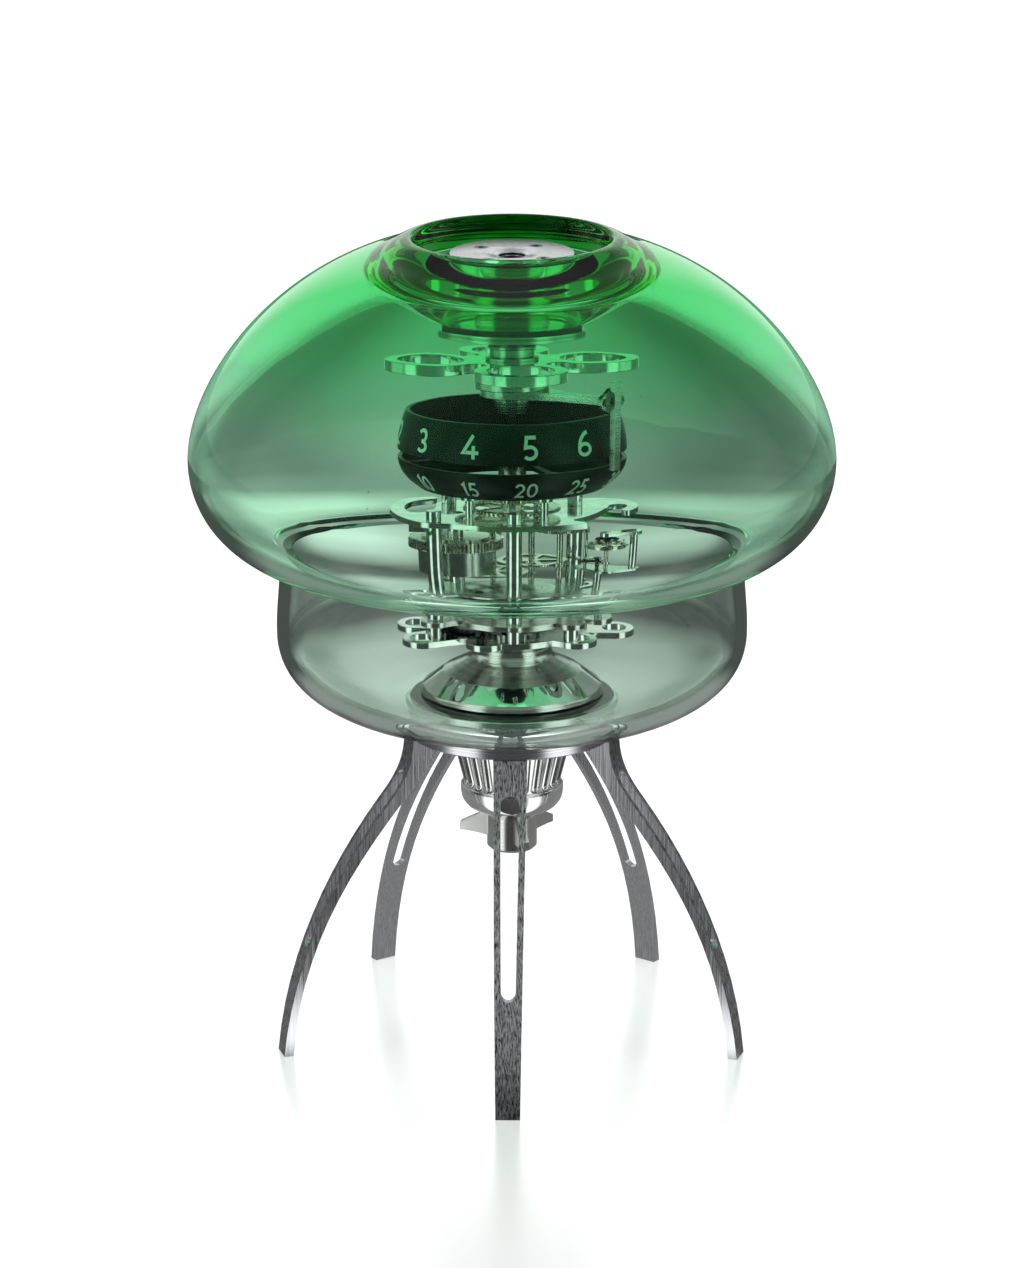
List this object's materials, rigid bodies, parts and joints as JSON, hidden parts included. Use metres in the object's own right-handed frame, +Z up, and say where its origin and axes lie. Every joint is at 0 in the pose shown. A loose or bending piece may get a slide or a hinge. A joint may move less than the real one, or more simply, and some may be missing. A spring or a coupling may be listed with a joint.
{
  "type": "desk clock",
  "caption": "Mechanical desk clock: a spring-driven movement and two turning number rings inside a green glass dome, on curved steel legs.",
  "frame": {"origin": "on the floor, on the clock's vertical axis, in the middle of the feet", "axes": "+Z up along the clock's axis, -Y to the front, +X to the right seen from the front"},
  "size_m": [0.2488, 0.2488, 0.3218],
  "materials": {
    "leg_steel": "coarse vertical brushing on the outer faces, satin on the sides",
    "plate_steel": "turned and brushed round the axis",
    "polished_steel": "mirror polish",
    "satin_steel": "fine satin",
    "wheel_metal": "plated and circularly grained",
    "dark_steel": "tempered and polished",
    "mirror_cone": "mirror polish, bare of any engraving",
    "dome_glass": "hand-blown, green that fades to clear at the lower edge",
    "bell_glass": "hand-blown, nearly clear",
    "rubber": "matt black",
    "ring_anodised": "dark green anodised with pale numbers"
  },
  "bodies": {
    "root": {"front_leg": "leg_steel", "right_leg": "leg_steel", "rear_right_leg": "leg_steel", "rear_left_leg": "leg_steel", "left_leg": "leg_steel", "leg_screws": "plate_steel", "base_plate": "plate_steel", "fluted_cup": "polished_steel", "glass_seat": "rubber", "bell_glass": "bell_glass", "bell_gasket": "rubber", "clamp_ring": "plate_steel", "mirror_cone": "mirror_cone", "neck": "plate_steel", "lower_petal_plate": "polished_steel", "lower_posts": "polished_steel", "mid_plate": "satin_steel", "pillars": "polished_steel", "top_plate": "polished_steel", "pillar_nuts": "polished_steel", "motion_bridge": "polished_steel", "bridge_posts": "polished_steel", "centre_column": "satin_steel", "column_collar": "plate_steel", "pointer_arm": "satin_steel", "pointer_bracket": "satin_steel", "pointer_bar": "satin_steel", "small_screws": "polished_steel", "boss_disc": "polished_steel", "upper_petal_plate": "polished_steel", "spool": "plate_steel", "clamp_disc": "plate_steel", "neck_gasket": "rubber", "dome_glass": "dome_glass", "cap_gasket": "rubber", "top_cap": "polished_steel", "cap_screws": "satin_steel", "escapement_platform": "satin_steel", "balance_cock": "polished_steel", "hairspring": "dark_steel", "barrel_block": "polished_steel"},
    "winding": {"winding_key": "plate_steel", "winding_arbor": "dark_steel"},
    "barrel_core": {"ratchet_wheel": "wheel_metal", "barrel_arbor": "dark_steel"},
    "barrel": {"barrel_drum": "wheel_metal", "great_wheel": "wheel_metal", "mainspring": "dark_steel"},
    "centre": {"centre_wheel": "wheel_metal"},
    "third": {"third_wheel": "wheel_metal"},
    "fourth": {"fourth_wheel": "wheel_metal"},
    "escape": {"escape_wheel": "wheel_metal"},
    "fork": {"pallet_fork": "dark_steel"},
    "balance": {"balance_wheel": "wheel_metal"},
    "minutes": {"minute_pipe": "dark_steel", "minute_ring": "ring_anodised"},
    "hours": {"hour_pipe": "dark_steel", "hour_ring": "ring_anodised"},
    "click": {"click": "dark_steel"}
  },
  "joints": [
    {"name": "minute_ring_turn", "type": "hinge", "parent": "root", "child": "minutes", "pos_m": [0, 0, 0.24], "axis": [0, 0, 1], "continuous": true},
    {"name": "hour_ring_turn", "type": "hinge", "parent": "root", "child": "hours", "pos_m": [0, 0, 0.255], "axis": [0, 0, 1], "continuous": true},
    {"name": "centre_wheel_turn", "type": "hinge", "parent": "root", "child": "centre", "pos_m": [-0.00753, 0.01961, 0.2], "axis": [0, 0, 1], "continuous": true},
    {"name": "barrel_turn", "type": "hinge", "parent": "root", "child": "barrel", "pos_m": [-0.02153, 0.00399, 0.2], "axis": [0, 0, 1], "continuous": true},
    {"name": "third_wheel_turn", "type": "hinge", "parent": "root", "child": "third", "pos_m": [0.00751, 0.01356, 0.195], "axis": [0, 0, 1], "continuous": true},
    {"name": "fourth_wheel_turn", "type": "hinge", "parent": "root", "child": "fourth", "pos_m": [0.01836, 0.00226, 0.195], "axis": [0, 0, 1], "continuous": true},
    {"name": "escape_wheel_turn", "type": "hinge", "parent": "root", "child": "escape", "pos_m": [0.0282, -0.00049, 0.195], "axis": [0, 0, 1], "continuous": true},
    {"name": "winding_key_turn", "type": "hinge", "parent": "root", "child": "winding", "pos_m": [0, 0, 0.085], "axis": [0, 0, 1], "continuous": true},
    {"name": "ratchet_turn", "type": "hinge", "parent": "root", "child": "barrel_core", "pos_m": [-0.02153, 0.00399, 0.171], "axis": [0, 0, 1], "continuous": true},
    {"name": "pallet_fork_swing", "type": "hinge", "parent": "root", "child": "fork", "pos_m": [0.03273, -0.00487, 0.195], "axis": [0, 0, 1], "range_deg": [-3, 3]},
    {"name": "balance_swing", "type": "hinge", "parent": "root", "child": "balance", "pos_m": [0.03592, -0.01087, 0.2], "axis": [0, 0, 1], "range_deg": [-150, 150], "stiffness_Nm_per_rad": 0.000004},
    {"name": "click_swing", "type": "hinge", "parent": "root", "child": "click", "pos_m": [-0.01315, -0.01053, 0.171], "axis": [0, 0, 1], "range_deg": [0, 12], "stiffness_Nm_per_rad": 0.0002}
  ],
  "couplings": [
    {"joint": "hour_ring_turn", "follows": "minute_ring_turn", "ratio": 0.083333},
    {"joint": "centre_wheel_turn", "follows": "minute_ring_turn", "ratio": -0.5},
    {"joint": "barrel_turn", "follows": "minute_ring_turn", "ratio": 0.083333},
    {"joint": "third_wheel_turn", "follows": "minute_ring_turn", "ratio": 4},
    {"joint": "fourth_wheel_turn", "follows": "minute_ring_turn", "ratio": -30},
    {"joint": "escape_wheel_turn", "follows": "minute_ring_turn", "ratio": 240},
    {"joint": "ratchet_turn", "follows": "winding_key_turn", "ratio": -0.93333}
  ]
}
